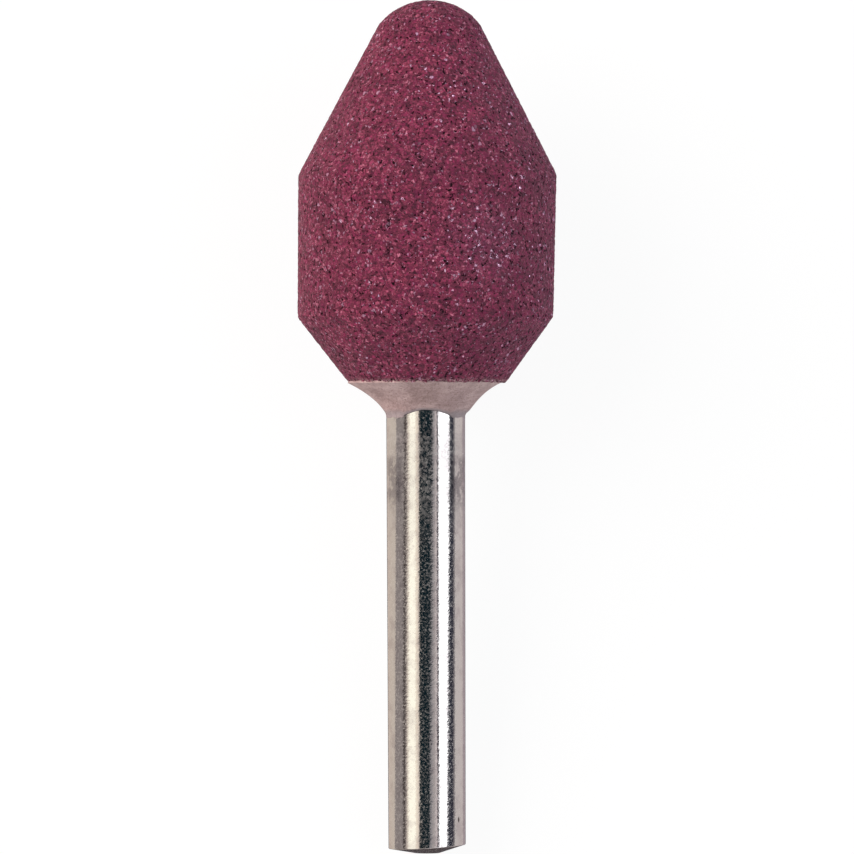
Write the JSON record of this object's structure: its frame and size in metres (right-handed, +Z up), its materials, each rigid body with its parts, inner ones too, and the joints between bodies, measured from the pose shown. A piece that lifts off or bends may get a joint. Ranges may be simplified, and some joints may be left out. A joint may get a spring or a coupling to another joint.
{
  "type": "mounted point",
  "caption": "Abrasive stone with a domed conical nose, a cylindrical belly and a tapered back, cemented on a plain round steel shank.",
  "frame": {"origin": "bottom centre of the point's box, as it lies on a table on the back edge of its belly and the end of its shank", "axes": "+Y runs along the table under the point's axis, towards the nose, which is tilted slightly up; +Z is up"},
  "size_m": [0.02, 0.0656, 0.0215],
  "materials": {
    "stone": "matte",
    "cement": "matte",
    "steel": "polished"
  },
  "bodies": {
    "root": {"abrasive_head": "stone", "bonding_cement": "cement", "steel_shank": "steel"}
  },
  "joints": []
}
